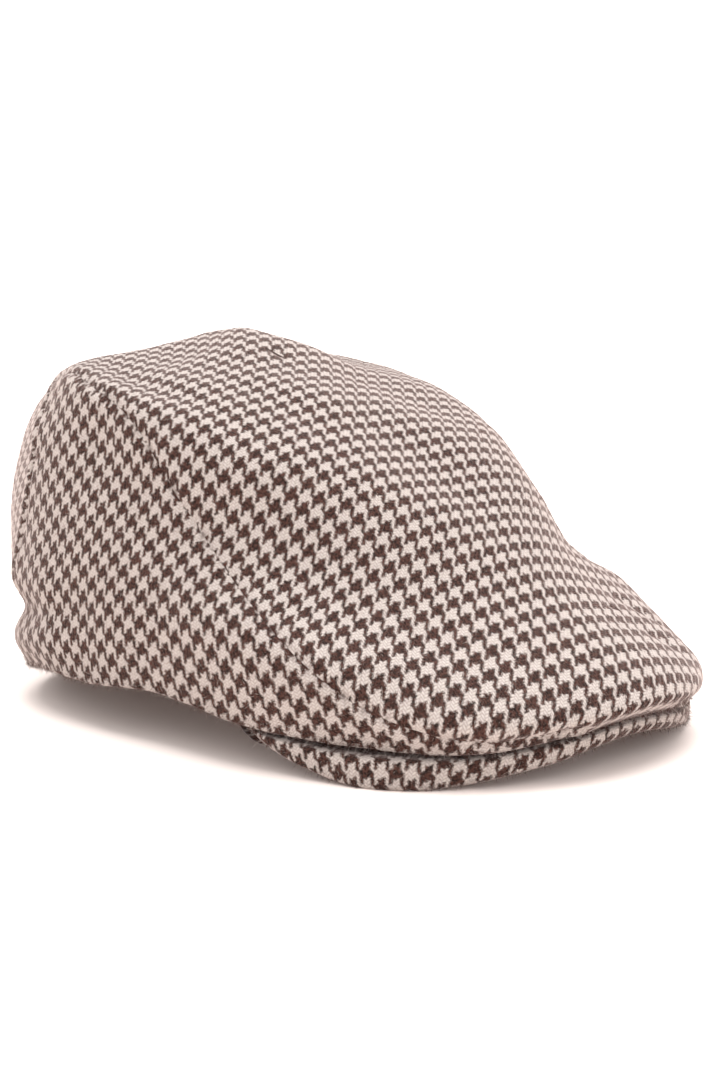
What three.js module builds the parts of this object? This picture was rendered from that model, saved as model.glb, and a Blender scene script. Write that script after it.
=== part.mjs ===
// A flat cap of the long-billed kind, sewn from brushed wool: one top panel from the front edge over the
// crown and down the back, a side panel on each side, and a visor tucked under the crown's front edge.
// Millimetres, +Z up, front towards -Y, the wearer's left towards +X. The cap stands on the plane z = 0.

import * as THREE from "three";

// Driving dimensions
const wall = 2;
const visorWall = 3;
const seamGap = 0.5;
const browDrop = 0.8;
const peakHeight = 128.5;
const peakBack = 43.7;
const frontTipTurn = 8;

// Grid density: quads along and across each piece
const alongSeam = 30;
const downBackSeam = 9;
const acrossTop = 22;
const aroundVisor = 32;
const acrossVisor = 7;
const alongFold = 80;

// Steps taken along a surface to find which way it faces
const chartStep = 0.004;
const visorStep = 0.01;
const onRim = 0.9999;

// Sections of the crown's outer face, one row for each half-plane that stands on the upright line through
// the peak. turn is in degrees, 0 at the front and 180 at the back, the same to the left and the right.
// Each column is a line that runs round the cap, as [distance out from the peak's line, height].
const crownColumns = ["edge", "roll", "flank", "shoulder", "rise", "crest"];
const crownSections = [
  // turn  edge       roll       flank      shoulder   rise       crest
  [0, [172, 17], [179, 21], [174, 28], [138, 49], [100, 78], [45, 112]],
  [20, [162, 10], [167, 19], [160, 28], [127, 51], [97, 85], [44, 113]],
  [40, [129, 12], [133, 24], [131, 39], [107, 60], [88, 93], [42, 115]],
  [60, [101, 17], [102, 27], [100, 49], [91, 72], [80, 102], [39, 117]],
  [80, [90, 15], [90, 28], [88, 55], [79, 87], [74, 109], [35, 119]],
  [100, [85, 14], [89, 26], [86, 58], [77, 97], [71, 114], [33, 120]],
  [120, [83, 10], [89, 24], [88, 60], [77, 101], [66, 117], [30, 122]],
  [140, [79, 4], [84, 22], [91, 62], [79, 103], [60, 118], [28, 124]],
  [160, [75, 0], [80, 20], [92, 64], [79, 104], [55, 117], [25, 126]],
  [180, [73, 0], [78, 20], [92, 65], [78, 105], [52, 117], [23, 128]],
];
const lineCount = crownColumns.length;

// Seams, as rows of [turn, line]: line 0 is the edge, 1 the roll and so on up to 6 at the peak.
const topSeamRoute = [
  [8, 0.4],
  [20, 0.5],
  [30, 1.2],
  [40, 2.25],
  [50, 2.95],
  [60, 3.35],
  [72, 3.75],
  [90, 4.02],
  [108, 4.02],
  [121, 3.6],
];
const backSeamRoute = [
  [121, 3.6],
  [117, 3.1],
  [113, 2.6],
  [113, 2.1],
  [119, 1.3],
  [128, 0],
];

// Folds pressed into the crown: a soft trough along a route of [turn, line, depth], and its half width.
// One lies just inside the ridge of the top seam, the other goes round the back above the hem.
const ridgeValley = {
  halfWidth: 9,
  route: [
    [132, 4.3, 0.8],
    [100, 4.55, 1.6],
    [70, 4.4, 1.6],
    [52, 4.2, 0],
  ],
};
const hemWaist = {
  halfWidth: 6,
  route: [
    [78, 1.3, 0],
    [105, 1.4, 2.4],
    [140, 1.4, 3.6],
    [180, 1.4, 3.6],
  ],
};

// Sections of the visor's upper face, laid out as the crown's are: its rear edge at the forehead, its
// middle and its lip. Between the last two it passes under the crown's front edge, set in from it.
const visorSections = [
  // turn  rear      middle     setIn  lip
  [0, [108, 36], [140, 27], 1.4, [170, 8.9]],
  [10, [107, 36], [139, 26], 1.4, [170.5, 6]],
  [20, [105, 34], [135, 22], 1.4, [165, 1.8]],
  [30, [102, 31], [124, 19], 1.4, [152.5, 0]],
  [38, [98, 27], [113, 17], 1.7, [134, 3.4]],
  [46, [93, 22], [103, 17], 3.6, [115.5, 9.2]],
  [54, [88, 18], [94, 17], 6.5, [102, 13]],
];

const cloth = { color: 0xa4948b, roughness: 0.95, metalness: 0 };

// Smooth curve through one column's values all round the cap, from the front by the right and back again.
function columnRing(sections, column) {
  const half = sections.map((row) => new THREE.Vector2(...row[column + 1]));
  const ring = [...half, ...half.slice(1, -1).reverse()];
  return new THREE.CatmullRomCurve3(
    ring.map((p) => new THREE.Vector3(p.x, 0, p.y)),
    true,
    "catmullrom",
  );
}

const crownRings = crownColumns.map((_, column) => columnRing(crownSections, column));
const sectionCache = new Map();

// Section of the crown at a turn, carried a little over the peak so that it crosses it level. The edge
// never dips under the plane that the cap stands on.
function crownSection(turn) {
  const key = turn.toFixed(4);
  if (!sectionCache.has(key)) {
    const points = crownRings.map((ring) => ring.getPoint(turn / 360));
    points[0].z = Math.max(points[0].z, 0);
    const crest = points[lineCount - 1];
    points.push(new THREE.Vector3(0, 0, peakHeight));
    points.push(new THREE.Vector3(-crest.x, 0, crest.z));
    sectionCache.set(key, new THREE.CatmullRomCurve3(points, false, "centripetal"));
  }
  return sectionCache.get(key);
}

// The chart is the crown seen from above and drawn as a disc of radius 1: the peak at its centre and the
// edge on its rim. A point of it stands for one point of the cloth.
function chartPoint(turn, line) {
  const radius = 1 - line / lineCount;
  const angle = THREE.MathUtils.degToRad(turn);
  return new THREE.Vector2(-radius * Math.sin(angle), -radius * Math.cos(angle));
}

function smoothCrown(chart) {
  const radius = Math.min(chart.length(), 1);
  const turn = THREE.MathUtils.radToDeg(Math.atan2(Math.abs(chart.x), -chart.y));
  const section = crownSection(turn).getPoint(((1 - radius) * lineCount) / (lineCount + 1));
  const angle = THREE.MathUtils.degToRad(turn);
  const side = chart.x > 0 ? 1 : -1;
  return new THREE.Vector3(
    side * section.x * Math.sin(angle),
    peakBack - section.x * Math.cos(angle),
    section.z,
  );
}

// Which way a surface over the chart faces. Beside the rim it is taken a little further in.
function normalOn(surface, chart) {
  const at = chart.clone().clampLength(0, 1 - 2 * chartStep);
  const stepX = new THREE.Vector2(chartStep, 0);
  const stepY = new THREE.Vector2(0, chartStep);
  const alongX = surface(at.clone().add(stepX)).sub(surface(at.clone().sub(stepX)));
  const alongY = surface(at.clone().add(stepY)).sub(surface(at.clone().sub(stepY)));
  return alongX.cross(alongY).normalize();
}

// Each fold's route on the smooth crown, on both sides of the cap.
const foldPaths = [ridgeValley, hemWaist].map(({ halfWidth, route }) => {
  const curve = new THREE.CatmullRomCurve3(route.map((row) => new THREE.Vector3(...row)));
  const stations = curve.getPoints(alongFold).map((p) => ({
    place: smoothCrown(chartPoint(Math.min(p.x, 180), p.y)),
    depth: Math.max(p.z, 0),
  }));
  return { halfWidth, stations };
});

function foldDepth(point) {
  const place = new THREE.Vector3(-Math.abs(point.x), point.y, point.z);
  let depth = 0;
  for (const { halfWidth, stations } of foldPaths) {
    const near = stations.reduce((a, b) => (b.place.distanceTo(place) < a.place.distanceTo(place) ? b : a));
    depth += near.depth * Math.exp(-((near.place.distanceTo(place) / halfWidth) ** 2));
  }
  return depth;
}

function crownSurface(chart) {
  const point = smoothCrown(chart);
  return point.addScaledVector(normalOn(smoothCrown, chart), -foldDepth(point));
}

// Polyline through a seam's rows, evenly stepped, in the chart.
function seamLine(route, steps) {
  const rows = route.map(([turn, line]) => chartPoint(turn, line));
  const curve = new THREE.CatmullRomCurve3(
    rows.map((p) => new THREE.Vector3(p.x, p.y, 0)),
    false,
    "centripetal",
  );
  return curve.getSpacedPoints(steps).map((p) => new THREE.Vector2(p.x, p.y));
}

function hemLine(fromTurn, toTurn, steps) {
  return Array.from({ length: steps + 1 }, (_, i) =>
    chartPoint(THREE.MathUtils.lerp(fromTurn, toTurn, i / steps), 0),
  );
}

function straightLine(from, to, steps) {
  return Array.from({ length: steps + 1 }, (_, i) => from.clone().lerp(to, i / steps));
}

const mirrored = (points) => points.map((p) => new THREE.Vector2(-p.x, p.y));

// Grid of chart points that fills the four-sided field between two facing pairs of lines.
// bottom and top run the same way, and so do left and right, from bottom to top.
function fillBetween(bottom, top, left, right) {
  return left.map((l, j) =>
    bottom.map((b, i) => {
      const u = i / (bottom.length - 1);
      const v = j / (left.length - 1);
      const point = b.clone().multiplyScalar(1 - v).addScaledVector(top[i], v);
      point.addScaledVector(l, 1 - u).addScaledVector(right[j], u);
      point.addScaledVector(bottom[0], -(1 - u) * (1 - v)).addScaledVector(bottom.at(-1), -u * (1 - v));
      point.addScaledVector(top[0], -(1 - u) * v).addScaledVector(top.at(-1), -u * v);
      return point;
    }),
  );
}

// Closed wall: the grid of outer points, the same grid set in by the wall's thickness, and a strip round
// the border. seamSides names the borders that are pulled in to leave half the seam's gap.
function wallMesh(name, outer, inner, seamSides) {
  const rows = outer.length;
  const columns = outer[0].length;
  for (const face of [outer, inner]) {
    const column = (i) => face.map((row) => row[i]);
    if (seamSides.left) pullIn(column(0), column(1));
    if (seamSides.right) pullIn(column(columns - 1), column(columns - 2));
    if (seamSides.top) pullIn(face[rows - 1], face[rows - 2]);
  }
  const positions = [...outer.flat(), ...inner.flat()].flatMap((p) => p.toArray());
  const at = (face, j, i) => face * rows * columns + j * columns + i;
  const triangles = [];
  const quad = (a, b, c, d) => triangles.push(a, b, c, a, c, d);
  for (let j = 0; j < rows - 1; j += 1) {
    for (let i = 0; i < columns - 1; i += 1) {
      const rising = outer[j][i].distanceTo(outer[j + 1][i + 1]);
      const falling = outer[j][i + 1].distanceTo(outer[j + 1][i]);
      if (rising < falling) {
        quad(at(0, j, i), at(0, j, i + 1), at(0, j + 1, i + 1), at(0, j + 1, i));
        quad(at(1, j, i), at(1, j + 1, i), at(1, j + 1, i + 1), at(1, j, i + 1));
      } else {
        quad(at(0, j, i + 1), at(0, j + 1, i + 1), at(0, j + 1, i), at(0, j, i));
        quad(at(1, j, i + 1), at(1, j, i), at(1, j + 1, i), at(1, j + 1, i + 1));
      }
    }
  }
  for (let i = 0; i < columns - 1; i += 1) {
    quad(at(0, 0, i), at(1, 0, i), at(1, 0, i + 1), at(0, 0, i + 1));
    quad(at(0, rows - 1, i + 1), at(1, rows - 1, i + 1), at(1, rows - 1, i), at(0, rows - 1, i));
  }
  for (let j = 0; j < rows - 1; j += 1) {
    quad(at(0, j + 1, 0), at(1, j + 1, 0), at(1, j, 0), at(0, j, 0));
    quad(at(0, j, columns - 1), at(1, j, columns - 1), at(1, j + 1, columns - 1), at(0, j + 1, columns - 1));
  }
  const geometry = new THREE.BufferGeometry();
  geometry.setAttribute("position", new THREE.Float32BufferAttribute(positions, 3));
  geometry.setIndex(triangles);
  geometry.computeVertexNormals();
  const mesh = new THREE.Mesh(geometry, new THREE.MeshStandardMaterial(cloth));
  mesh.name = name;
  return mesh;
}

// Moves a border towards its neighbouring line by half the seam's gap, square to the border itself.
function pullIn(border, neighbours) {
  const shifts = border.map((point, k) => {
    const before = border[Math.max(k - 1, 0)];
    const after = border[Math.min(k + 1, border.length - 1)];
    const along = after.clone().sub(before).normalize();
    const inwards = neighbours[k].clone().sub(point);
    inwards.addScaledVector(along, -inwards.dot(along));
    return inwards.setLength(seamGap / 2);
  });
  border.forEach((point, k) => point.add(shifts[k]));
}

// Wall of the crown over a grid of chart points. The hem's cut edge is level.
function crownPanel(name, grid, seamSides) {
  const outer = grid.map((row) => row.map(crownSurface));
  const inner = grid.map((row, j) =>
    row.map((chart, i) => {
      const point = outer[j][i].clone().addScaledVector(normalOn(crownSurface, chart), -wall);
      if (chart.length() > onRim) point.z = outer[j][i].z;
      return point;
    }),
  );
  return wallMesh(name, outer, inner, seamSides);
}

const topSeam = seamLine(topSeamRoute, alongSeam);
const backSeam = seamLine(backSeamRoute, downBackSeam);
const tipTop = topSeam[0];
const tipBottom = chartPoint(frontTipTurn, 0);
const backHemTurn = backSeamRoute.at(-1)[0];

function sidePanelGrid() {
  const hem = hemLine(backHemTurn, frontTipTurn, alongSeam);
  const front = straightLine(tipBottom, tipTop, downBackSeam);
  return fillBetween(hem, [...topSeam].reverse(), [...backSeam].reverse(), front);
}

function mirrorGrid(grid) {
  return grid.map((row) => mirrored(row).reverse());
}

function topPanelGrid() {
  const rightSide = [tipBottom, ...topSeam, ...backSeam.slice(1)];
  const leftSide = mirrored(rightSide);
  const frontEdge = hemLine(frontTipTurn, -frontTipTurn, acrossTop);
  const backHem = hemLine(backHemTurn, 360 - backHemTurn, acrossTop);
  return fillBetween(frontEdge, backHem, rightSide, leftSide);
}

// The visor: a crescent whose upper face follows its sections, mirrored about the middle.
function visor() {
  const leftHalf = visorSections.slice(1).map(([turn, ...columns]) => [-turn, ...columns]);
  const sections = [...leftHalf.reverse(), ...visorSections];
  const lineThrough = (column) => {
    const points = sections.map((row) => new THREE.Vector3(row[0], ...column(row)));
    return new THREE.CatmullRomCurve3(points, false, "centripetal");
  };
  const rear = lineThrough((row) => row[1]);
  const middle = lineThrough((row) => row[2]);
  const setIn = lineThrough((row) => [row[3], 0]);
  const lip = lineThrough((row) => row[4]);
  const place = (s, t) => {
    const rim = lip.getPoint(s);
    const edge = crownSection(Math.abs(rim.x)).getPoint(0);
    const brow = new THREE.Vector3(rim.x, edge.x - setIn.getPoint(s).y, edge.z - browDrop);
    const section = [rear.getPoint(s), middle.getPoint(s), brow, rim];
    const across = new THREE.CatmullRomCurve3(section, false, "centripetal");
    const { x: turn, y: out, z: height } = across.getPoint(t);
    const angle = THREE.MathUtils.degToRad(turn);
    return new THREE.Vector3(
      -out * Math.sin(angle),
      peakBack - out * Math.cos(angle),
      Math.max(height, 0),
    );
  };
  const outer = [];
  const inner = [];
  for (let j = 0; j <= acrossVisor; j += 1) {
    const t = j / acrossVisor;
    outer.push([]);
    inner.push([]);
    for (let i = 0; i <= aroundVisor; i += 1) {
      const s = i / aroundVisor;
      const point = place(s, t);
      const along = place(Math.min(s + visorStep, 1), t).sub(place(Math.max(s - visorStep, 0), t));
      const across = place(s, Math.min(t + visorStep, 1)).sub(place(s, Math.max(t - visorStep, 0)));
      const under = point.clone().addScaledVector(along.cross(across).normalize(), -visorWall);
      if (j === acrossVisor) under.z = point.z;
      outer[j].push(point);
      inner[j].push(under);
    }
  }
  return wallMesh("visor", outer, inner, {});
}

const cap = new THREE.Group();
const sideGrid = sidePanelGrid();
const sideSeams = { left: true, right: true, top: true };
cap.add(crownPanel("top_panel", topPanelGrid(), { left: true, right: true }));
cap.add(crownPanel("side_panel_right", sideGrid, sideSeams));
cap.add(crownPanel("side_panel_left", mirrorGrid(sideGrid), sideSeams));
cap.add(visor());

export default cap;
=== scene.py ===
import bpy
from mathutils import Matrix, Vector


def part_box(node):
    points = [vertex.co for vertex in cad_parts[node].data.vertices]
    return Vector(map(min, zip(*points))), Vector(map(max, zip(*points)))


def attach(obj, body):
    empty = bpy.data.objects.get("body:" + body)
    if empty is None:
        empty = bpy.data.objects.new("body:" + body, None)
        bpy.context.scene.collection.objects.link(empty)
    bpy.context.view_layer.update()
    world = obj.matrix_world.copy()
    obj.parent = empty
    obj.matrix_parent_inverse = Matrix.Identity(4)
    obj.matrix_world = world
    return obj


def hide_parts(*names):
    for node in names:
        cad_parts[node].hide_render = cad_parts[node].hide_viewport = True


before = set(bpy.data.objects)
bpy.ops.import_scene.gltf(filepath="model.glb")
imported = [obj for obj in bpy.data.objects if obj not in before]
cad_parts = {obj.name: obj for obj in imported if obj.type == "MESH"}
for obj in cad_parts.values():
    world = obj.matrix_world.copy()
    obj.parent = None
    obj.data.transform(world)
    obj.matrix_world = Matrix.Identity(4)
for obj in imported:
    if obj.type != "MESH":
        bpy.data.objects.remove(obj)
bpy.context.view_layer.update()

import math

import bpy
import numpy as np
from mathutils import Vector, kdtree, noise

bpy.ops.object.select_all(action="DESELECT")
mm = 0.001
tiny = 1e-9
rng = np.random.default_rng(7)
# How many points stand for a smooth line, or for one step of it.
pointCounts = {"routeStep": 60, "crownLine": 240, "gridStep": 12,
               "rim": 400, "lip": 600, "threads": 900}


# The crown is described by half-planes through an upright line at its peak. turn is in degrees, 0 at
# the front and 180 at the back. Each column is a line that runs round the cap: [distance out, height]
# in mm.
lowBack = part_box("top_panel")[1][1] / mm
crown = {
    "peakHeight": 128.5,
    "peakBack": lowBack - 91.6,
    "turnStep": 20,         # one section for each step, from the front to the back
    "sections": [
        # edge      roll       flank      shoulder   rise       crest
        ([172, 14.8], [179, 20.5], [174, 28], [138, 49], [100, 78], [45, 112]),
        ([162, 10], [167, 19], [160, 28], [127, 51], [97, 85], [44, 113]),
        ([129, 12], [133, 24], [131, 39], [107, 60], [88, 93], [42, 115]),
        ([101, 17], [102, 27], [100, 49], [91, 72], [80, 102], [39, 117]),
        ([90, 15], [90, 28], [88, 55], [79, 87], [74, 109], [35, 119]),
        ([85, 14], [89, 26], [86, 58], [77, 97], [71, 114], [33, 120]),
        ([83, 10], [89, 24], [88, 60], [77, 101], [66, 117], [30, 122]),
        ([79, 4], [84, 22], [91, 62], [79, 103], [60, 118], [28, 124]),
        ([75, 0], [80, 20], [92, 64], [79, 104], [55, 117], [25, 126]),
        ([73, 0], [78, 20], [92, 65], [78, 105], [52, 117], [23, 128]),
    ],
}
sectionTable = np.array(crown["sections"], float) * mm
lineCount = sectionTable.shape[1]


def hermite(p1, p2, m1, m2, t):
    return (p1 * (2 * t**3 - 3 * t**2 + 1) + m1 * (t**3 - 2 * t**2 + t)
            + p2 * (3 * t**2 - 2 * t**3) + m2 * (t**3 - t**2))


def roundTheCap(table, place):
    # uniform Catmull-Rom between the rows of a table, the same on both sides of the cap
    last = len(table) - 1
    place = np.clip(place, 0, last - tiny)
    k = place.astype(int)
    row = lambda i: table[last - np.abs(last - np.abs(i))]
    p0, p1, p2, p3 = row(k - 1), row(k), row(k + 1), row(k + 2)
    return hermite(p1, p2, (p2 - p0) / 2, (p3 - p1) / 2, (place - k)[:, None, None])


def smoothRing(turn):
    ring = roundTheCap(sectionTable, np.abs(turn) / crown["turnStep"])
    ring[:, 0, 1] = np.maximum(ring[:, 0, 1], 0)
    return ring


def throughKnots(knots, line):
    # centripetal Catmull-Rom through each row's own knots
    gap = np.sqrt(np.linalg.norm(np.diff(knots, axis=1), axis=2) + tiny)
    k = np.minimum(line.astype(int), knots.shape[1] - 4)
    rows = np.arange(len(knots))
    p0, p1, p2, p3 = (knots[rows, k + i] for i in range(4))
    d0, d1, d2 = (gap[rows, k + i][:, None] for i in range(3))
    m1 = ((p1 - p0) / d0 - (p2 - p0) / (d0 + d1) + (p2 - p1) / d1) * d1
    m2 = ((p2 - p1) / d1 - (p3 - p1) / (d1 + d2) + (p3 - p2) / d2) * d1
    return hermite(p1, p2, m1, m2, (line - k)[:, None])


# The chart is the crown seen from above as a disc: the peak at its centre and the edge on its rim.
def chartPoint(turn, line):
    radius, angle = 1 - np.asarray(line, float) / lineCount, np.radians(turn)
    return np.stack([-radius * np.sin(angle), -radius * np.cos(angle)], -1)


def turnAndLine(chart):
    turn = np.degrees(np.arctan2(np.abs(chart[:, 0]), -chart[:, 1]))
    return turn, (1 - np.minimum(np.hypot(chart[:, 0], chart[:, 1]), 1)) * lineCount


def smoothCrown(chart):
    turn, line = turnAndLine(chart)
    ring = smoothRing(turn)
    peak = np.tile([0, crown["peakHeight"] * mm], (len(ring), 1, 1))
    beyond = ring[:, -1:] * [-1, 1]
    below = 2 * ring[:, :1] - ring[:, 1:2]
    out, up = throughKnots(np.concatenate([below, ring, peak, beyond], 1), line).T
    angle = np.radians(turn)
    side = np.where(chart[:, 0] > 0, 1, -1)
    return np.stack([side * out * np.sin(angle), crown["peakBack"] * mm - out * np.cos(angle), up], -1)


def alongRoute(rows, fractions):
    # points at fractions of the length of a smooth curve through the rows
    rows = np.asarray(rows, float)
    knots = np.concatenate([2 * rows[:1] - rows[1:2], rows, 2 * rows[-1:] - rows[-2:-1]])
    dense = np.linspace(0, len(rows) - 1 - tiny, pointCounts["routeStep"] * len(rows))
    curve = throughKnots(np.broadcast_to(knots, (len(dense),) + knots.shape), dense)
    length = np.concatenate([[0], np.cumsum(np.linalg.norm(np.diff(curve[:, :2], axis=0), axis=1))])
    return np.stack([np.interp(np.asarray(fractions) * length[-1], length, c) for c in curve.T], -1)


def graded(count, start=0.0, end=0.0, reach=0.05):
    # fractions from 0 to 1 that crowd together at the start and the end
    s = (np.arange(count) + 0.5) / count
    width = 1 - start * np.exp(-s / reach) - end * np.exp(-(1 - s) / reach)
    t = np.concatenate([[0], np.cumsum(width)])
    return t / t[-1]


# Seams, as rows of [turn, line], where line 0 is the edge and 6 the peak.
seams = {
    "frontTipTurn": 8,
    "top": [[8, 0.4], [20, 0.5], [30, 1.2], [40, 2.25], [50, 2.95],
            [60, 3.35], [72, 3.75], [90, 4.02], [108, 4.02], [121, 3.6]],
    "back": [[121, 3.6], [117, 3.1], [113, 2.6], [113, 2.1], [119, 1.3], [128, 0]],
}
tipTurn, backTurn = seams["frontTipTurn"], seams["back"][-1][0]
topSeam = chartPoint(*np.array(seams["top"], float).T)
backSeam = chartPoint(*np.array(seams["back"], float).T)
mirrored = np.array([-1, 1])


def fillBetween(bottom, top, left, right, u, v):
    # grid of chart points in the field between four lines, bottom to top and left to right
    u, v = u[None, :, None], v[:, None, None]
    across = bottom[None] * (1 - v) + top[None] * v
    upward = left[:, None] * (1 - u) + right[:, None] * u
    corners = (bottom[0] * (1 - u) + bottom[-1] * u) * (1 - v) + (top[0] * (1 - u) + top[-1] * u) * v
    return across + upward - corners


# Divisions of the panels: count, crowding at the start and at the end, reach of the crowding.
topCut = {
    "columns": (70, 0.75, 0.75), "tipRows": 5, "seamRows": (84, 0.3), "backRows": (40, 0, 0.7),
    # finer within this reach, in mm, of every so many points along a slit
    "slitCuts": 3, "slitReach": 3.5, "slitStep": 20,
}
sideCut = {"columns": (74, 0.6, 0.3, 0.03), "rows": (30, 0.75, 0.75)}


def sideGrid():
    u, v = graded(*sideCut["columns"]), graded(*sideCut["rows"])
    hem = chartPoint(backTurn + (tipTurn - backTurn) * u, 0)
    front = chartPoint(tipTurn, 0) * (1 - v[:, None]) + topSeam[0] * v[:, None]
    return fillBetween(hem, alongRoute(topSeam[::-1], u), alongRoute(backSeam[::-1], v), front, u, v)


def topGrid():
    u = graded(*topCut["columns"])
    tip = chartPoint(tipTurn, 0)
    right = np.concatenate([
        tip + (topSeam[0] - tip) * np.linspace(0, 1, topCut["tipRows"] + 1)[:, None],
        alongRoute(topSeam, graded(*topCut["seamRows"]))[1:],
        alongRoute(backSeam, graded(*topCut["backRows"]))[1:],
    ])
    frontEdge = chartPoint(tipTurn - 2 * tipTurn * u, 0)
    backHem = chartPoint(backTurn + (360 - 2 * backTurn) * u, 0)
    return fillBetween(frontEdge, backHem, right, right * mirrored, u, np.linspace(0, 1, len(right)))


def selectOnly(piece):
    bpy.ops.object.select_all(action="DESELECT")
    piece.select_set(True)
    bpy.context.view_layer.objects.active = piece


def readVertices(piece, what="co"):
    values = np.empty(len(piece.data.vertices) * 3)
    piece.data.vertices.foreach_get(what, values)
    return values.reshape(-1, 3)


def placeVertices(piece, places):
    piece.data.vertices.foreach_set("co", np.ascontiguousarray(places, dtype=float).ravel())
    piece.data.update()


def cornerVertices(piece):
    owners = np.empty(len(piece.data.loops), int)
    piece.data.loops.foreach_get("vertex_index", owners)
    return owners


def readMap(piece, name):
    # one value for each vertex, from a map that has no breaks
    values = np.empty(len(piece.data.loops) * 2)
    piece.data.uv_layers[name].data.foreach_get("uv", values)
    perVertex = np.zeros((len(piece.data.vertices), 2))
    perVertex[cornerVertices(piece)] = values.reshape(-1, 2)
    return perVertex


def writeMap(piece, name, perVertex):
    layer = piece.data.uv_layers.get(name) or piece.data.uv_layers.new(name=name)
    layer.data.foreach_set("uv", np.ascontiguousarray(perVertex[cornerVertices(piece)]).ravel())


def sheetOver(name, grid, surface):
    # a grid primitive laid over a surface, which remembers its chart in a map of its own
    rows, columns = grid.shape[:2]
    bpy.ops.object.select_all(action="DESELECT")
    bpy.ops.mesh.primitive_grid_add(x_subdivisions=columns - 1, y_subdivisions=rows - 1, size=0.2)
    piece = bpy.context.object
    piece.name = piece.data.name = name
    for layer in list(piece.data.uv_layers):
        piece.data.uv_layers.remove(layer)
    chart = grid.reshape(-1, 2)
    placeVertices(piece, surface(chart))
    writeMap(piece, "chart", chart)
    return piece


def layFlat(piece, start, end, bearing, method):
    # unwraps the sheet at its real size, with the line from start to end lying at the bearing
    writeMap(piece, "weave", np.zeros((len(piece.data.vertices), 2)))
    piece.data.uv_layers.active = piece.data.uv_layers["weave"]
    selectOnly(piece)
    bpy.ops.object.mode_set(mode="EDIT")
    bpy.ops.mesh.select_all(action="SELECT")
    bpy.ops.uv.unwrap(method=method, margin=0, iterations=20)
    bpy.ops.object.mode_set(mode="OBJECT")
    flat, places = readMap(piece, "weave"), readVertices(piece)
    ends = np.array([edge.vertices[:] for edge in piece.data.edges])
    length = lambda points: np.linalg.norm(points[ends[:, 0]] - points[ends[:, 1]], axis=1)
    flat *= length(places).sum() / length(flat).sum()
    flat -= flat[start]
    turn = math.radians(bearing) - math.atan2(flat[end][1], flat[end][0])
    c, s = math.cos(turn), math.sin(turn)
    return flat @ np.array([[c, s], [-s, c]])


def refine(piece, surface, cuts=1, near=(), reach=0.0):
    # subdivides the sheet, all over or near some points, and lays it over its surface again
    selectOnly(piece)
    if len(near):
        middles = np.array([face.center[:] for face in piece.data.polygons])
        away = np.linalg.norm(middles[:, None] - np.asarray(near)[None], axis=2).min(1)
        picked = away < reach
    else:
        picked = np.ones(len(piece.data.polygons), bool)
    bpy.ops.object.mode_set(mode="EDIT")
    bpy.ops.mesh.select_mode(type="FACE")
    bpy.ops.mesh.select_all(action="DESELECT")
    bpy.ops.object.mode_set(mode="OBJECT")
    piece.data.polygons.foreach_set("select", picked)
    bpy.ops.object.mode_set(mode="EDIT")
    bpy.ops.mesh.subdivide(number_cuts=cuts)
    bpy.ops.object.mode_set(mode="OBJECT")
    placeVertices(piece, surface(readMap(piece, "chart")))


def distanceTo(line, places):
    # distance to the nearest point of a line, and which point that is
    tree = kdtree.KDTree(len(line))
    for i, point in enumerate(line):
        tree.insert(point, i)
    tree.balance()
    found = [tree.find(place)[1:] for place in places]
    return np.array([f[1] for f in found]), np.array([f[0] for f in found])


def bump(distance, halfWidth):
    # 1 in the middle, falling softly away
    return np.exp(-(distance / halfWidth) ** 2)


def ramp(value, start, end):
    # 0 up to the start and 1 from the end on
    t = np.clip((value - start) / (end - start), 0, 1)
    return t * t * (3 - 2 * t)


def noiseAt(places, size, seed):
    # smooth noise from about -1 to 1, in swells of the given size
    shift = Vector([seed * step for step in (3.7, 1.3, -2.1)])
    return 2 * np.array([noise.noise(Vector(place) / size + shift) for place in places])


# The cloth, in mm.
cloth = {
    "wall": 2.0,
    "hemWall": 3.0,                     # the hem is turned in on itself
    "hemReach": 7.0,
    "hemFold": {"from": 58, "full": 76},        # turns where the turned-in hem starts and is full
    "seamRound": 0.2,
    "grooveDepth": 0.6, "grooveWidth": 1.8,
    "weltHeight": 0.3, "weltPlace": 3.4, "weltWidth": 1.8,
    "puckerHeight": 0.5, "puckerLength": 11, "puckerReach": 8,
    "waves": [[34, 0.5], [13, 0.22]],   # [size, height] of the slack in the cloth
    "mergeWithin": 0.002, "smoothAngle": 50,
}
# Soft folds along a line: [turn, line, depth].
folds = {
    "ridge": {"bothSides": False, "halfWidth": 7.5,
              "rows": [[132, 4.3, 0.1], [102, 4.5, 1.8], [78, 4.42, 2.6],
                       [60, 4.35, 2.5], [46, 4.2, 1.2], [36, 4.05, 0]]},
    "waist": {"bothSides": True, "halfWidth": 6.5,
              "rows": [[78, 1.3, 0], [104, 1.3, 3.2], [129, 1.25, 5.6],
                       [155, 1.25, 5.2], [180, 1.3, 4.6]]},
}
# Soft dents and swellings: turn (above 0 on the right side), line, height, radius.
dents = [
    [-30, 1.3, -1.0, 14],
    [-33, 3.8, -0.8, 8],
    [-29, 3.45, 0.5, 7],
    [-31, 3.05, -1.8, 9],
    [-36, 2.8, -1.5, 11],
    [-32, 2.5, 1.1, 8],
    [-22, 3.22, -0.9, 6],
    [-24, 2.1, -0.9, 7],
    [-19, 1.5, 0.7, 9],
    [-96, 4.2, -1.2, 8],
    [-48, 5.8, -0.6, 8],
    [176, 5.8, 1.6, 8],
    [130, 1.8, -1.5, 22],
    [160, 4.7, 0.7, 14],
    [20, 4.8, 1.5, 14],
    [-4, 4.6, 1.5, 14],
    [-8, 4.3, 1.5, 14],
    [10, 5.4, -1.5, 14],
    [-24, 5.0, -1.5, 14],
    [-30, 4.6, -1.5, 14],
]
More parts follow.
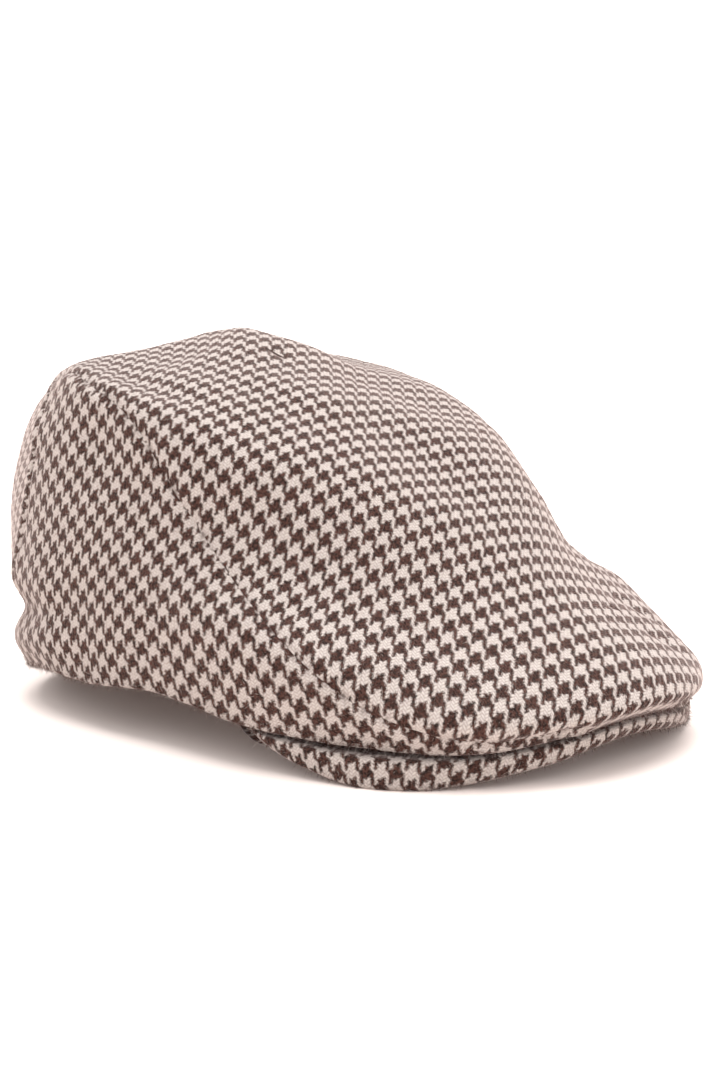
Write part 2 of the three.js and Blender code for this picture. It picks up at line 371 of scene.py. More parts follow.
# Shallow folds left of the front: the two ends as [turn, line], depth, half width.
tucks = {
    "upper": {"from": [-16, 2.9], "to": [-24, 1.8], "depth": 0.9, "halfWidth": 3.2},
    "lower": {"from": [-11, 2.6], "to": [-17, 1.85], "depth": 0.8, "halfWidth": 3.0},
}
# Short pinched slits: the same, and the half width of the slit in its dip.
slits = {
    "top": {"from": [27.5, 5.56], "to": [14, 5.4], "depth": 0.5, "halfWidth": 1.4,
            "opening": 0.8},
    "front": {"from": [-10.5, 2.78], "to": [-13.2, 2.63], "depth": 0.5, "halfWidth": 1.4,
              "opening": 0.55},
}


def crownLine(rows):
    # a dense line on the smooth crown through rows of [turn, line], with its length along the way
    fractions = np.linspace(0, 1, pointCounts["crownLine"])
    points = smoothCrown(alongRoute(chartPoint(*np.array(rows, float).T), fractions))
    return points, np.concatenate([[0], np.cumsum(np.linalg.norm(np.diff(points, axis=0), axis=1))])


def bothSides(points):
    return np.concatenate([points, points * [-1, 1, 1]])


topSeamLine, topSeamLength = crownLine(seams["top"])
backSeamLine, backSeamLength = crownLine(seams["back"])
seamLine = bothSides(np.concatenate([topSeamLine, backSeamLine]))
seamLength = np.concatenate([topSeamLength, topSeamLength[-1] + backSeamLength])
seamLength = np.concatenate([seamLength, seamLength + 1])      # a metre on, so the sides pucker apart


def crownPush(places):
    # how far the cloth stands out of the smooth crown
    push = np.zeros(len(places))
    for fold in folds.values():
        rows = np.array(fold["rows"], float)
        line = crownLine(rows[:, :2])[0]
        depth = np.interp(np.linspace(0, 1, len(line)), np.linspace(0, 1, len(rows)), rows[:, 2])
        if fold["bothSides"]:
            line, depth = bothSides(line), np.tile(depth, 2)
        away, nearest = distanceTo(line, places)
        push -= depth[nearest] * bump(away, fold["halfWidth"] * mm)
    for turn, line, height, radius in dents:
        centre = smoothCrown(chartPoint(turn, line)[None])
        push += height * bump(np.linalg.norm(places - centre, axis=1), radius * mm)
    away, nearest = distanceTo(seamLine, places)
    away /= mm
    push -= cloth["grooveDepth"] * bump(away, cloth["grooveWidth"])
    push += cloth["weltHeight"] * bump(away - cloth["weltPlace"], cloth["weltWidth"])
    along = np.array([[length, 0, 0] for length in seamLength[nearest]])
    puckers = noiseAt(along, cloth["puckerLength"] * mm, seed=5)
    push += cloth["puckerHeight"] * puckers * np.exp(-away / cloth["puckerReach"])
    for i, (size, height) in enumerate(cloth["waves"]):
        push += height * noiseAt(places, size * mm, seed=i + 1)
    for pinch in [*slits.values(), *tucks.values()]:
        line = crownLine([pinch["from"], pinch["to"]])[0]
        away, nearest = distanceTo(line, places)
        share = np.sin(np.linspace(0, math.pi, len(line)))[nearest]     # deepest half way along
        push -= pinch["depth"] * share * bump(away, pinch["halfWidth"] * mm)
    return push * mm


def markSeams(piece, places):
    # a map of [distance from the nearest seam, way along it]
    away, nearest = distanceTo(seamLine, places)
    writeMap(piece, "seam", np.stack([away, seamLength[nearest]], -1))


def markSlits(piece, places, normals):
    # a map of [across, along] the nearest slit, each 1 at the slit's own border
    farOff = 9.0
    marks, closest = np.full((len(places), 2), farOff), np.full(len(places), farOff)
    for slit in slits.values():
        line, length = crownLine([slit["from"], slit["to"]])
        middle = (line[0] + line[-1]) / 2
        away = np.linalg.norm(places - middle, axis=1)
        sideways = np.cross(line[-1] - line[0], normals[away.argmin()])
        sideways /= np.linalg.norm(sideways)
        across = (places - middle) @ sideways / (slit["opening"] * mm)
        along = (places - middle) @ (line[-1] - line[0]) / (length[-1] ** 2 / 2)
        nearer = away < closest
        marks[nearer] = np.stack([across, along], -1)[nearer]
        closest = np.minimum(closest, away)
    writeMap(piece, "slit", marks)


def writeShade(piece, values):
    # painted shade: how dark the piece is at each vertex
    layer = piece.data.attributes.new("shade", "FLOAT", "POINT")
    layer.data.foreach_set("value", np.ascontiguousarray(values, dtype=float))


def roundedEdge(away, radius):
    # how far a rounded border falls back from the face of the cloth
    reach = np.clip(1 - away / radius, 0, 1)
    return radius * (1 - np.sqrt(np.clip(1 - reach**2, 0, 1)))


def giveWall(piece, face, normals, thickness, back):
    # thickens the sheet into a closed wall that falls back from its face at the borders
    outer = face - normals * back[:, None]
    inner = face - normals * np.maximum(thickness - back, thickness / 2)[:, None]
    for side in (outer, inner):
        side[:, 2] = np.maximum(side[:, 2], 0)
    wall = piece.modifiers.new("wall", "SOLIDIFY")
    wall.thickness, wall.offset = cloth["wall"] * mm, -1
    selectOnly(piece)
    bpy.ops.object.modifier_apply(modifier=wall.name)
    placeVertices(piece, np.concatenate([outer, inner]))
    bpy.ops.object.mode_set(mode="EDIT")
    bpy.ops.mesh.select_all(action="SELECT")
    bpy.ops.mesh.remove_doubles(threshold=cloth["mergeWithin"] * mm)
    bpy.ops.object.mode_set(mode="OBJECT")
    bpy.ops.object.shade_smooth_by_angle(angle=math.radians(cloth["smoothAngle"]))
    piece.data.uv_layers.remove(piece.data.uv_layers["chart"])


def finishCrownPanel(piece, hem, seamBorder):
    # hem and seamBorder are chart points along the panel's edges
    chart = readMap(piece, "chart")
    smooth, normals = smoothCrown(chart), readVertices(piece, "normal")
    face = smooth + normals * crownPush(smooth)[:, None]
    fromHem = distanceTo(smoothCrown(hem), smooth)[0]
    fromSeam = distanceTo(smoothCrown(seamBorder), smooth)[0]
    placeVertices(piece, face)
    markSeams(piece, smooth)
    markSlits(piece, smooth, normals)
    normals = readVertices(piece, "normal")
    wall, fold = cloth["wall"] * mm, cloth["hemFold"]
    turn = turnAndLine(chart)[0]
    extra = (cloth["hemWall"] - cloth["wall"]) * ramp(turn, fold["from"], fold["full"]) * mm
    back = np.maximum(roundedEdge(fromHem, (wall + extra) / 2),
                      roundedEdge(fromSeam, cloth["seamRound"] * mm))
    giveWall(piece, face, normals, wall + extra * bump(fromHem, cloth["hemReach"] * mm), back)


# The weave, in mm and degrees.
weave = {
    "thread": 0.79,
    "checkThreads": 8,
    # top panel: [distance from the front edge, length of one check, lean to the side]
    "top": [[0, 7.3, 0.11], [55, 7.3, 0.11], [85, 6.4, 0.08], [105, 6.15, -0.03], [420, 6.1, -0.03]],
    "topAcross": 6.2,
    # side panels: bearings of the two sets of threads from the hem, and one check's length along each
    "side": {"right": [60, 143], "left": [300, 37], "checks": [6.4, 6.35]},
    "visor": 6.3,
    "ease": {"at": [58, 1.0], "reach": 25, "share": 0.22},      # where the side panels are stretched
}
checkSize = weave["checkThreads"] * weave["thread"] * mm


def topThreads(flat):
    # thread coordinates of points on the top panel laid flat
    rows = np.array(weave["top"], float)
    steps = np.linspace(0, rows[-1, 0], pointCounts["threads"])
    check, lean = (np.interp(steps, rows[:, 0], rows[:, i]) for i in (1, 2))
    lengthwise = np.concatenate([[0], np.cumsum(np.diff(steps) / check[1:])])
    drift = np.concatenate([[0], np.cumsum(np.diff(steps) * lean[1:])])
    across, along = flat[:, 0] / mm, flat[:, 1] / mm
    checks = np.stack([(across - np.interp(along, steps, drift)) / weave["topAcross"],
                       np.interp(along, steps, lengthwise)], -1)
    return checks * checkSize


def stretched(flat, centre):
    # the cloth is steamed out along the hem around a place over the temple
    reach, share = weave["ease"]["reach"] * mm, weave["ease"]["share"]
    du, dv = ((flat - centre) / reach).T
    pulled = flat.copy()
    swing = np.array([math.erf(d) for d in du]) * math.sqrt(math.pi) / 2
    pulled[:, 0] -= share * reach * swing * np.exp(-dv * dv)
    return pulled


def sideThreads(flat, left):
    # thread coordinates of points on a side panel laid flat
    bearings = np.radians(weave["side"]["left" if left else "right"])
    checks = flat / mm @ np.array([np.cos(bearings), np.sin(bearings)]) / weave["side"]["checks"]
    return checks * checkSize


def denseLine(*lines):
    # chart points close together along one or more rows of a grid
    places = []
    for line in lines:
        s = np.linspace(0, len(line) - 1, len(line) * pointCounts["gridStep"])
        places.append(np.stack([np.interp(s, np.arange(len(line)), line[:, i]) for i in (0, 1)], -1))
    return np.concatenate(places)


def makeTopPanel():
    grid = topGrid()
    piece = sheetOver("top_panel_cloth", grid, smoothCrown)
    rows, columns = grid.shape[:2]
    middle = columns // 2
    flat = layFlat(piece, middle, (rows - 1) * columns + middle, bearing=90, method="MINIMUM_STRETCH")
    writeMap(piece, "weave", topThreads(flat))
    refine(piece, smoothCrown)
    pinched = np.concatenate([crownLine([slit["from"], slit["to"]])[0][::topCut["slitStep"]]
                              for slit in slits.values()])
    refine(piece, smoothCrown, topCut["slitCuts"], pinched, topCut["slitReach"] * mm)
    finishCrownPanel(piece, denseLine(grid[0], grid[-1]), denseLine(grid[:, 0], grid[:, -1]))
    return piece


def makeSidePanel(name, left):
    grid = sideGrid()
    if left:
        grid = grid[:, ::-1] * mirrored
    piece = sheetOver(name, grid, smoothCrown)
    columns = grid.shape[1]
    start, end = (columns - 1, 0) if left else (0, columns - 1)
    flat = layFlat(piece, start, end, bearing=180 if left else 0, method="ANGLE_BASED")
    turn, line = weave["ease"]["at"]
    eased = smoothCrown(chartPoint(-turn if left else turn, line)[None])
    centre = flat[np.linalg.norm(readVertices(piece) - eased, axis=1).argmin()]
    writeMap(piece, "weave", sideThreads(stretched(flat, centre), left))
    refine(piece, smoothCrown)
    finishCrownPanel(piece, denseLine(grid[0]), denseLine(grid[-1], grid[:, 0], grid[:, -1]))
    return piece


topPanel = makeTopPanel()
print("top panel", len(topPanel.data.polygons))
sidePanels = {"side_panel_right": makeSidePanel("side_panel_right_cloth", left=False),
              "side_panel_left": makeSidePanel("side_panel_left_cloth", left=True)}
print("side panels", [len(piece.data.polygons) for piece in sidePanels.values()])


# The visor, in mm and degrees.
visor = {
    "wall": 3.0,
    "lastTurn": 54,
    "tipRound": 1.0,
    "columns": (76, 0.5, 0.5), "bands": (22, 0.3, 0.6, 0.12),       # divided as the panels are
    "slack": 0.5,           # share of the cloth's waves
    "browDrop": 0.35,       # below the crown's edge
    # the lip's bulge: its share of the way out, how far it stands out, and how far it drops,
    # which is no more than a share of the lip's height
    "cheek": {"share": 0.65, "out": 0.6, "drop": 1.6, "dropShare": 0.3},
    "cornerFrom": 5,        # a brow set in further than this is in a corner, behind the crown's edge
    "shade": {"depth": 0.8, "from": 0.52, "to": 0.64},      # painted shade under the crown's edge, by way across
    # turn, rear, middle, how far the brow is set in, lip; places are [distance out, height]
    "sections": [
        [0, [108, 36], [140, 27], 3.2, [170, 8.9]],
        [10, [107, 36], [139, 26], 3.2, [169.8, 6]],
        [20, [105, 34], [135, 22], 3.2, [163.8, 1.6]],
        [30, [102, 31], [124, 19], 3.2, [152.5, 0]],
        [38, [98, 28], [113, 20], 3.6, [134, 4.6]],
        [42, [96, 26], [108, 20.5], 4.6, [124.5, 9.4]],
        [46, [93, 24], [103, 21], 6.4, [113, 16.5]],
        [54, [88, 23], [94, 23], 10.0, [98, 22]],
    ],
}
visorTurns = np.array([section[0] for section in visor["sections"]], float)


def visorSections():
    # five lines from the rear to the lip, hung from the crown's edge
    sections, bulge = [], visor["cheek"]
    for turn, rear, middle, setIn, lip in visor["sections"]:
        edge, lip = smoothRing(np.array([float(turn)]))[0, 0] / mm, np.array(lip, float)
        brow = edge - [setIn, visor["browDrop"]]
        cheek = edge + (lip - edge) * [bulge["share"], 0]
        cheek += [bulge["out"], -min(bulge["drop"], (edge[1] - lip[1]) * bulge["dropShare"])]
        if setIn > visor["cornerFrom"]:
            brow, cheek = middle + (lip - middle) / 3, middle + (lip - middle) * 2 / 3
        sections.append([rear, middle, brow, cheek, lip])
    return np.array(sections, float) * mm


visorTable = visorSections()
visorSlopes = np.gradient(visorTable, visorTurns, axis=0)
visorSlopes[0] = 0      # level at the middle of the visor
bandCount = visorTable.shape[1] - 1


def smoothVisor(chart):
    # chart is [turn from -1 to 1, way across from 0 at the rear to 1 at the lip]
    turn = np.abs(chart[:, 0]) * visor["lastTurn"]
    last = len(visorTable) - 1
    place = np.clip(np.interp(turn, visorTurns, np.arange(last + 1)), 0, last - tiny)
    k = place.astype(int)
    gap, t = np.diff(visorTurns)[k][:, None, None], (place - k)[:, None, None]
    ring = hermite(visorTable[k], visorTable[k + 1], visorSlopes[k] * gap, visorSlopes[k + 1] * gap, t)
    before, after = 2 * ring[:, :1] - ring[:, 1:2], 2 * ring[:, -1:] - ring[:, -2:-1]
    line = np.clip(chart[:, 1], 0, 1 - tiny) * bandCount
    out, up = throughKnots(np.concatenate([before, ring, after], 1), line).T
    angle = np.radians(turn) * np.sign(chart[:, 0])
    return np.stack([-out * np.sin(angle), crown["peakBack"] * mm - out * np.cos(angle),
                     np.maximum(up, 0)], -1)


def makeVisor():
    u, v = graded(*visor["columns"]) * 2 - 1, graded(*visor["bands"])
    grid = np.stack(np.broadcast_arrays(-u[None], 1 - v[:, None]), -1)
    piece = sheetOver("visor_cloth", grid, smoothVisor)
    rows, columns = grid.shape[:2]
    middle = columns // 2
    flat = layFlat(piece, middle, (rows - 1) * columns + middle, bearing=90, method="ANGLE_BASED")
    writeMap(piece, "weave", flat / (weave["visor"] * mm) * checkSize)
    refine(piece, smoothVisor)
    smooth, normals = readVertices(piece), readVertices(piece, "normal")
    waves = sum(height * noiseAt(smooth, size * mm, seed=9) for size, height in cloth["waves"])
    face = smooth + normals * (visor["slack"] * waves * mm)[:, None]
    fromLip = distanceTo(smoothVisor(denseLine(grid[0])), smooth)[0]
    fromRest = distanceTo(smoothVisor(denseLine(grid[-1], grid[:, 0], grid[:, -1])), smooth)[0]
    wall, shade = visor["wall"] * mm, visor["shade"]
    across = readMap(piece, "chart")[:, 1]
    # painted shade on the visor where it runs in under the crown's edge
    writeShade(piece, shade["depth"] * (1 - ramp(across, shade["from"], shade["to"])))
    back = np.maximum(roundedEdge(fromLip, wall / 2), roundedEdge(fromRest, visor["tipRound"] * mm))
    giveWall(piece, face, normals, wall, back)
    return piece


visorPiece = makeVisor()
print("visor", len(visorPiece.data.polygons))


# Wool fibres that stand off the cloth, in mm.
fibres = {
    "length": [0.7, 3.0], "shortness": 2.5,     # more shortness leaves fewer long ones
    "radius": 0.05, "halfwayShare": 0.8,        # the share is how thick they still are half way
    "lean": 0.8, "bend": 0.35,
    "rootDepth": 0.1, "floorGap": 0.2,
    "edgeShare": 0.45, "edgeReach": 2.5,        # those rooted along the free edge
    "hollow": [0, 20, 50],                      # a place inside, which the outer faces look away from
    "counts": {"top_panel": 5000, "side_panel_right": 4000, "side_panel_left": 4000, "visor": 4000},
}


def makeFibres(name, piece, count, edgeLine):
    # strands rooted on the piece, some all over it and the rest along its free edge
    mesh = piece.data
    mesh.calc_loop_triangles()
    triangles = np.array([t.vertices[:] for t in mesh.loop_triangles])
    corners = np.array([t.loops[:] for t in mesh.loop_triangles])
    places, normals = readVertices(piece), readVertices(piece, "normal")
    flat = np.empty(len(mesh.loops) * 2)
    mesh.uv_layers["weave"].data.foreach_get("uv", flat)
    flat = flat.reshape(-1, 2)
    a, b, c = (places[triangles[:, i]] for i in range(3))
    across = np.cross(b - a, c - a)
    area = np.linalg.norm(across, axis=1) / 2
    middle = (a + b + c) / 3
    faceOut = (across * (middle - np.array(fibres["hollow"]) * mm)).sum(1) > 0
    share, edgeShare = area * faceOut, fibres["edgeShare"]
    nearEdge = share * bump(distanceTo(edgeLine, middle)[0], fibres["edgeReach"] * mm)
    share = share / share.sum() * (1 - edgeShare) + nearEdge / nearEdge.sum() * edgeShare
    picked = rng.choice(len(triangles), count, p=share / share.sum())
    weight = rng.dirichlet([1, 1, 1], count)
    blend = lambda values: (values * weight[:, :, None]).sum(1)
    root = blend(places[triangles[picked]])
    flatRoot = blend(flat[corners[picked]])
    normal = blend(normals[triangles[picked]])
    way = normal + rng.normal(size=(count, 3)) * fibres["lean"]
    way[(way * normal).sum(1) < 0] *= -1
    way /= np.linalg.norm(way, axis=1, keepdims=True)
    bend = rng.normal(size=(count, 3)) * fibres["bend"]
    low, high = fibres["length"]
    length = (low + (high - low) * rng.random(count) ** fibres["shortness"])[:, None] * mm
    halfway = root + way * length / 2
    tip = halfway + (way + bend) * length / 2
    for end in (halfway, tip):
        end[:, 2] = np.maximum(end[:, 2], fibres["floorGap"] * mm)
    root -= normal * fibres["rootDepth"] * mm
    first = np.cross(way, rng.normal(size=(count, 3)))
    first /= np.linalg.norm(first, axis=1, keepdims=True)
    second = np.cross(way, first)
    rings = []
    for at, width in ((root, 1), (halfway, fibres["halfwayShare"])):
        for angle in np.radians([0, 120, 240]):
            turned = first * math.cos(angle) + second * math.sin(angle)
            rings.append(at + turned * width * fibres["radius"] * mm)
    points = np.stack(rings + [tip], 1)
    each = points.shape[1]
    strand = [[0, 1, 4, 3], [1, 2, 5, 4], [2, 0, 3, 5], [3, 4, 6], [4, 5, 6], [5, 3, 6], [2, 1, 0]]
    faces = [[each * i + corner for corner in face] for i in range(count) for face in strand]
    mesh = bpy.data.meshes.new(name)
    mesh.from_pydata(points.reshape(-1, 3).tolist(), [], faces)
    tuft = bpy.data.objects.new(name, mesh)
    bpy.context.collection.objects.link(tuft)
    writeMap(tuft, "weave", np.repeat(flatRoot, each, 0))
    selectOnly(tuft)
    bpy.ops.object.shade_smooth()
    return tuft


def rimBetween(first, last):
    # the crown's free edge from one turn to another
    return smoothCrown(chartPoint(np.linspace(first, last, pointCounts["rim"]), 0))


lipChart = np.ones((pointCounts["lip"], 2))
lipChart[:, 0] = np.linspace(-1, 1, len(lipChart))
freeEdges = {
    "top_panel": np.concatenate([rimBetween(backTurn, 360 - backTurn), rimBetween(-tipTurn, tipTurn)]),
    "side_panel_right": rimBetween(tipTurn, backTurn),
    "side_panel_left": rimBetween(-tipTurn, -backTurn),
    "visor": smoothVisor(lipChart),
}
cloths = {"top_panel": topPanel, **sidePanels, "visor": visorPiece}
tufts = {node: makeFibres(node + "_fibres", piece, fibres["counts"][node], freeEdges[node])
         for node, piece in cloths.items()}
print("fibres made")


class Wire:
    # one output of a shader node, so that shader maths can be written as sums
    def __init__(self, tree, socket=None):
        self.tree, self.socket = tree, socket

    def make(self, kind, settings=None, sockets=None, output=0):
        node = self.tree.nodes.new(kind)
        for name, value in (settings or {}).items():
            setattr(node, name, value)
        for name, value in (sockets or {}).items():
            if isinstance(value, Wire):
                self.tree.links.new(value.socket, node.inputs[name])
            else:
                node.inputs[name].default_value = value
        return Wire(self.tree, node.outputs[output])

    def maths(self, operation, first, second=0.0):
        return self.make("ShaderNodeMath", {"operation": operation}, {0: first, 1: second})

    def __add__(self, other):
        return self.maths("ADD", self, other)

    def __sub__(self, other):
        return self.maths("SUBTRACT", self, other)

    def __rsub__(self, other):
        return self.maths("SUBTRACT", other, self)

    def __mul__(self, other):
        return self.maths("MULTIPLY", self, other)

    def __mod__(self, other):
        return self.maths("FLOORED_MODULO", self, other)

    def __lt__(self, other):
        return self.maths("LESS_THAN", self, other)

    def __gt__(self, other):
        return self.maths("GREATER_THAN", self, other)

    def __abs__(self):
        return self.maths("ABSOLUTE", self)

    def __floor__(self):
        return self.maths("FLOOR", self)

    __radd__, __rmul__ = __add__, __mul__

    def vector(self, operation, other=None, scale=None):
        sockets = {0: self}
        if other is not None:
            sockets[1] = other
        if scale is not None:
            sockets["Scale"] = scale
        return self.make("ShaderNodeVectorMath", {"operation": operation}, sockets)

    def colour(self, first, second):
        # this wire is the share of the second colour
        return self.make("ShaderNodeMix", {"data_type": "RGBA", "blend_type": "MIX"},
                         {0: self, 6: first, 7: second}, 2)

    def grain(self, scale, detail=2.0, output="Fac"):
        return self.make("ShaderNodeTexNoise", {}, {"Vector": self, "Scale": scale, "Detail": detail},
                         output)

    def patches(self, scale, detail, low, high, share=None):
        # soft patches of noise, which begin at low and are full at high
        patches = self.grain(scale, detail).between(low, high)
        return patches if share is None else patches * share

    def drift(self, scale, reach):
        # a noise vector that swings by reach either way
        offset = self.grain(scale, output="Color").vector("SUBTRACT", (0.5, 0.5, 0.0))
        return offset.vector("SCALE", scale=2 * reach)

    def parts(self):
        split = self.make("ShaderNodeSeparateXYZ", {}, {0: self})
        return split, Wire(self.tree, split.socket.node.outputs[1])

    def between(self, low, high):
        # 0 below low, 1 above high
        return self.make("ShaderNodeMapRange", {"interpolation_type": "SMOOTHSTEP"},
                         {"Value": self, "From Min": low, "From Max": high})

    def feed(self, shader, name):
        self.tree.links.new(self.socket, shader.inputs[name])


def setSockets(node, values):
    for name, value in values.items():
        node.inputs[name].default_value = value


# The wool's colours and finish. Each length is in threads, and the relief in mm.
wool = {
    "cream": [(0.562, 0.493, 0.457, 1), (0.488, 0.426, 0.391, 1)],
    "brown": [(0.006, 0.002, 0.0015, 1), (0.070, 0.028, 0.021, 1)],
    "rust": (0.12, 0.052, 0.040, 1),
    # painted shade between the yarns: its colour, and its share where a yarn falls away to nothing
    "hollow": (0.07, 0.042, 0.034, 1), "yarnShadeShare": 0.42,
    # the colour that all painted shade is mixed towards
    "shadow": (0.028, 0.010, 0.007, 1),
    "wander": (0.05, 0.45), "fray": (1.1, 0.7), "wisps": (3.1, 1.3),    # noise scale, reach
    "napReach": 0.22, "napEdge": (0.2, 0.66),       # where the blurred yarn starts and is fully dark
    "floatDip": 0.6,            # how far a float dips at its ends
    "relief": 0.18,
    "lint": (1.0, 3.0), "lintShare": 0.3,       # noise scale, detail, and its share of the relief
    # patches of a second colour: noise scale, detail, start, full, and the share if it isn't all
    "dullCream": (0.8, 3.0, 0.35, 0.65),
    "paleBrown": (0.75, 3.0, 0.38, 0.64),
    "rustClouds": (0.16, 2.0, 0.45, 0.7, 0.16),
    "rustOnBrown": (1.6, 2.0, 0.6, 0.72, 0.25),
    "creamOnBrown": (1.9, 2.0, 0.62, 0.76, 0.45),
    "rustOnCream": (1.5, 2.0, 0.64, 0.8, 0.4),
    "rustStrands": (2.3, 1.0, 0.45, 0.55),
    "brownStrands": (3.7, 1.0, 0.52, 0.6),
    "surface": {"Roughness": 0.95, "Specular IOR Level": 0.15},
    # the pale nap seen from its side
    "sheen": {"Sheen Weight": 0.85, "Sheen Roughness": 0.26, "Sheen Tint": (0.8, 0.66, 0.62, 1)},
}
# Painted shade in the seam, in mm, and in the slits. Each pair is where the shade is full and where it
# ends.
paintedShade = {
    "shadePatchSize": 4.5, "shadePatches": (0.46, 0.72),     # patches of painted shade along the seam; noise below the first gets none
    "spots": (0.2, 2.4), "spotShade": 0.6,
    "line": (0.0, 0.9), "lineShade": 0.35,
    "slit": (0.75, 1.2), "slitShade": 0.95,     # 1 is the slit's own border, across and along
}


def paintedSeamShade(tree):
    # painted shade along the seam in patches: a soft wide band, darker in a line down its middle
    flat = Wire(tree).make("ShaderNodeUVMap", {"uv_map": "seam"})
    away, along = flat.parts()
    shadePatches = flat.grain(1 / (paintedShade["shadePatchSize"] * mm)).between(*paintedShade["shadePatches"])
    near = lambda reach: 1 - away.between(reach[0] * mm, reach[1] * mm)
    spots = shadePatches * near(paintedShade["spots"]) * paintedShade["spotShade"]
    line = shadePatches * near(paintedShade["line"]) * paintedShade["lineShade"]
    return (spots + line) * (along > 1e-5)      # a piece without this map reads 0 all over


def paintedSlitShade(tree):
    # painted shade inside each slit, full well inside it and gone just past its border
    across, along = Wire(tree).make("ShaderNodeUVMap", {"uv_map": "slit"}).parts()
    inside = 1 - (across * across + along * along).between(*paintedShade["slit"])
    return inside * paintedShade["slitShade"] * (abs(across) + abs(along) > 1e-6)


def warpOnTop(column, row):
    # two up and two down, one thread further on in each row
    return (column - row + 1) % 4 < 2


def darkYarn(place):
    # 1 where a brown yarn lies on top, 0 where a cream one does
    x, y = place.parts()
    check = weave["checkThreads"]
    warp = warpOnTop(math.floor(x), math.floor(y))
    return warp * (x % check < check / 2) + (1 - warp) * (y % check < check / 2)


def woolFinish(name):
    # a new material with its shader, and the places on it counted in threads
    material = bpy.data.materials.new(name)
    material.use_nodes = True
    shader = material.node_tree.nodes["Principled BSDF"]
    setSockets(shader, wool["surface"])
    flat = Wire(material.node_tree).make("ShaderNodeUVMap", {"uv_map": "weave"})
    return material, shader, flat.vector("SCALE", scale=1 / (weave["thread"] * mm))


def makeHoundstooth():
    material, shader, threads = woolFinish("houndstooth_wool")
    tree = threads.tree
    calm = threads.vector("ADD", threads.drift(*wool["wander"]))
    frayed = calm.vector("ADD", threads.drift(*wool["fray"]))
    frayed = frayed.vector("ADD", threads.drift(*wool["wisps"]))
    # the nap blurs the borders between the two colours
    reach = wool["napReach"]
    around = [darkYarn(frayed.vector("ADD", (a, b, 0)))
              for a in (-reach, reach) for b in (-reach, reach)]
    dark = ((around[0] + around[1] + around[2] + around[3]) * 0.25).between(*wool["napEdge"])

    # each float is a short round yarn two threads long
    x, y = calm.parts()
    column, row = math.floor(x), math.floor(y)
    warp = warpOnTop(column, row)
    rounded = lambda across, along: (1 - across * across) * (1 - along * along * wool["floatDip"])
    warpYarn = rounded(abs(x % 1 * 2 - 1), abs((y - column) % 4 - 1))
    weftYarn = rounded(abs(y % 1 * 2 - 1), abs((x - row + 1) % 4 - 3))
    yarn = warp * warpYarn + (1 - warp) * weftYarn

    cream = threads.patches(*wool["dullCream"]).colour(*wool["cream"])
    brown = threads.patches(*wool["paleBrown"]).colour(*wool["brown"])
    reddish = threads.patches(*wool["rustClouds"]) + threads.patches(*wool["rustOnBrown"])
    inDark = reddish.colour(brown, wool["rust"])
    inDark = threads.patches(*wool["creamOnBrown"]).colour(inDark, wool["cream"][1])
    inLight = threads.patches(*wool["rustOnCream"]).colour(cream, wool["rust"])
    colour = dark.colour(inLight, inDark)
    # painted shade in the hollows between the yarns, deepening down each yarn's rounded sides
    colour = ((1 - yarn) * wool["yarnShadeShare"]).colour(colour, wool["hollow"])
    # painted shade: the visor's under the crown's edge, and the seam's and the slits', whichever is
    # darkest
    shade = Wire(tree).make("ShaderNodeAttribute", {"attribute_name": "shade"}, {}, "Fac")
    for mark in (paintedSeamShade(tree), paintedSlitShade(tree)):
        shade = shade.maths("MAXIMUM", shade, mark)
    shade.colour(colour, wool["shadow"]).feed(shader, "Base Color")

    height = yarn * (1 - wool["lintShare"]) + threads.grain(*wool["lint"]) * wool["lintShare"]
    relief = {"Strength": 1.0, "Distance": wool["relief"] * mm, "Height": height}
    height.make("ShaderNodeBump", {}, relief).feed(shader, "Normal")
    setSockets(shader, wool["sheen"])
    return material


def makeStrayWool():
    # loose fibres: pale, rusty and brown ones side by side
    material, shader, threads = woolFinish("stray_wool")
    rusty = threads.patches(*wool["rustStrands"]).colour(wool["cream"][1], wool["rust"])
    threads.patches(*wool["brownStrands"]).colour(rusty, wool["brown"][1]).feed(shader, "Base Color")
    return material


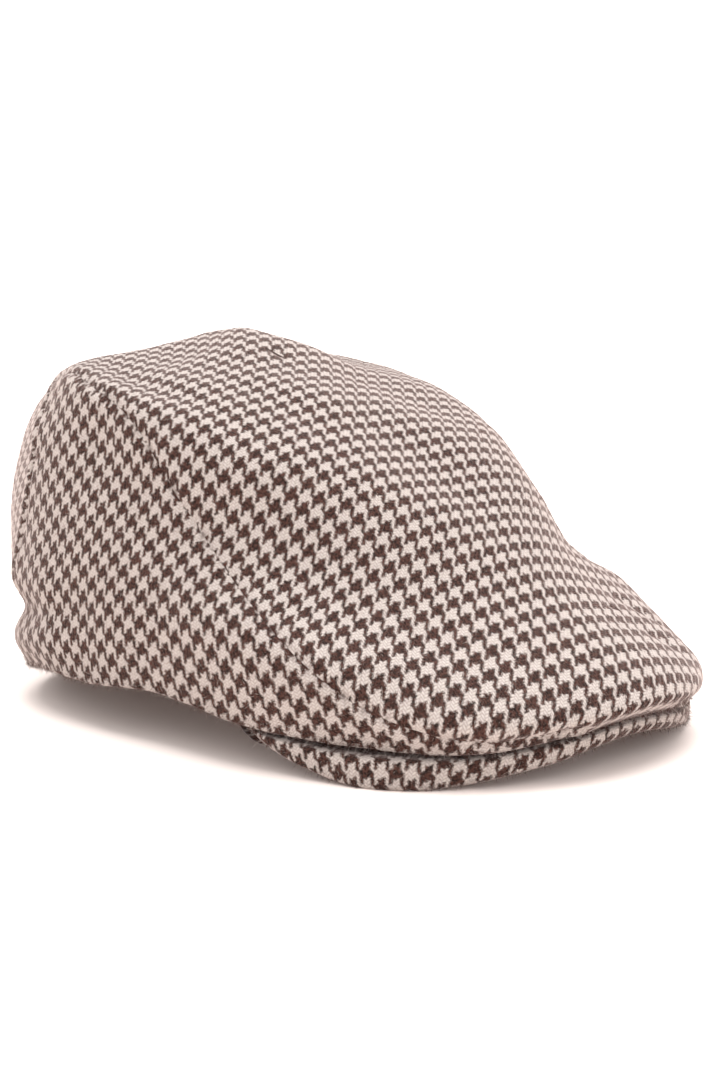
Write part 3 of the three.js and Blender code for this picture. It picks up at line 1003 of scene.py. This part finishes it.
houndstooth, strayWool = makeHoundstooth(), makeStrayWool()
slots = {"top_panel": "top_cloth", "side_panel_right": "side_cloth", "side_panel_left": "side_cloth",
         "visor": "visor_cloth"}
for node, piece in cloths.items():
    tuft, slot = tufts[node], slots[node]
    for part, finish in ((piece, houndstooth), (tuft, strayWool)):
        part.data.materials.clear()
        part.data.materials.append(finish)
        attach(part, "root")
    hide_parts(node)
print("wool on all pieces")


# The studio, in m and degrees.
studio = {
    "floorSize": 40.0,
    "floor": {"Base Color": (0.95, 0.855, 0.81, 1), "Roughness": 0.9, "Specular IOR Level": 0.1,
              # the floor glows faintly: painted light that lifts and warms the shadow under the cap
              "Emission Color": (0.058, 0.041, 0.036, 1), "Emission Strength": 1.0},
    "sky": {"Color": (1, 1, 1, 1), "Strength": 1.2},
    "overhead": {"strength": 3.8, "spread": 60, "place": (0.24, 0.22, 1.2), "aim": (0, 0, 0.05)},
}
bpy.ops.mesh.primitive_plane_add(size=studio["floorSize"])
floor = bpy.context.object
floor.name = "floor"
floorFinish = bpy.data.materials.new("pale_floor")
floorFinish.use_nodes = True
setSockets(floorFinish.node_tree.nodes["Principled BSDF"], studio["floor"])
floor.data.materials.append(floorFinish)

world = bpy.context.scene.world or bpy.data.worlds.new("studio")
bpy.context.scene.world = world
world.use_nodes = True
setSockets(world.node_tree.nodes["Background"], studio["sky"])

bpy.ops.object.light_add(type="SUN", location=studio["overhead"]["place"])
overhead = bpy.context.object
overhead.data.energy = studio["overhead"]["strength"]
overhead.data.angle = math.radians(studio["overhead"]["spread"])
aim = Vector(studio["overhead"]["aim"]) - overhead.location
overhead.rotation_euler = aim.to_track_quat("-Z", "Y").to_euler()

# The camera, in m and degrees, with its lens and sensor in mm.
view = {"place": (-0.4512, -0.4546, 0.150), "azimuth": -45.34, "elevation": 8.05,
        "lens": 62.18, "sensor": 36.0}
facing = (math.radians(90 - view["elevation"]), 0, math.radians(view["azimuth"]))
bpy.ops.object.camera_add(location=view["place"], rotation=facing)
camera = bpy.context.object
camera.data.sensor_fit = "VERTICAL"
camera.data.sensor_height = view["sensor"]
camera.data.lens = view["lens"]
bpy.context.scene.camera = camera
bpy.context.scene.view_settings.view_transform = "Standard"
print("floor, light and camera set")
